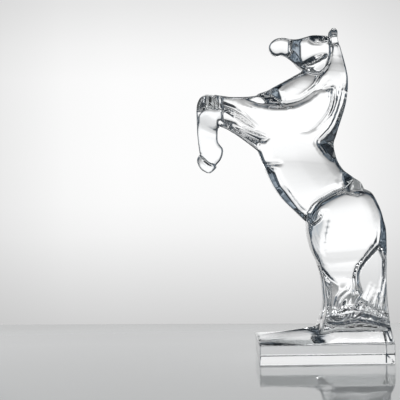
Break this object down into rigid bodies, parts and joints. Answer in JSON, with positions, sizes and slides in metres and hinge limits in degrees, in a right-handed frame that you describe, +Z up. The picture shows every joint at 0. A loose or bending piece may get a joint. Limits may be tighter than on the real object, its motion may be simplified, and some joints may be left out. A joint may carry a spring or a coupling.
{
  "type": "crystal rearing horse sculpture",
  "caption": "Rearing horse of clear cast crystal, forelegs bent, standing on its hind legs and tail on a low rectangular plinth cast in one with it.",
  "frame": {"origin": "centre of the plinth's underside, on the table", "axes": "+Z up, -X the way the horse faces, -Y the side that the picture shows"},
  "size_m": [0.1343, 0.072, 0.2332],
  "materials": {
    "clear_crystal": "clear, fire-polished"
  },
  "bodies": {
    "root": {"rearing_horse": "clear_crystal"}
  },
  "joints": []
}
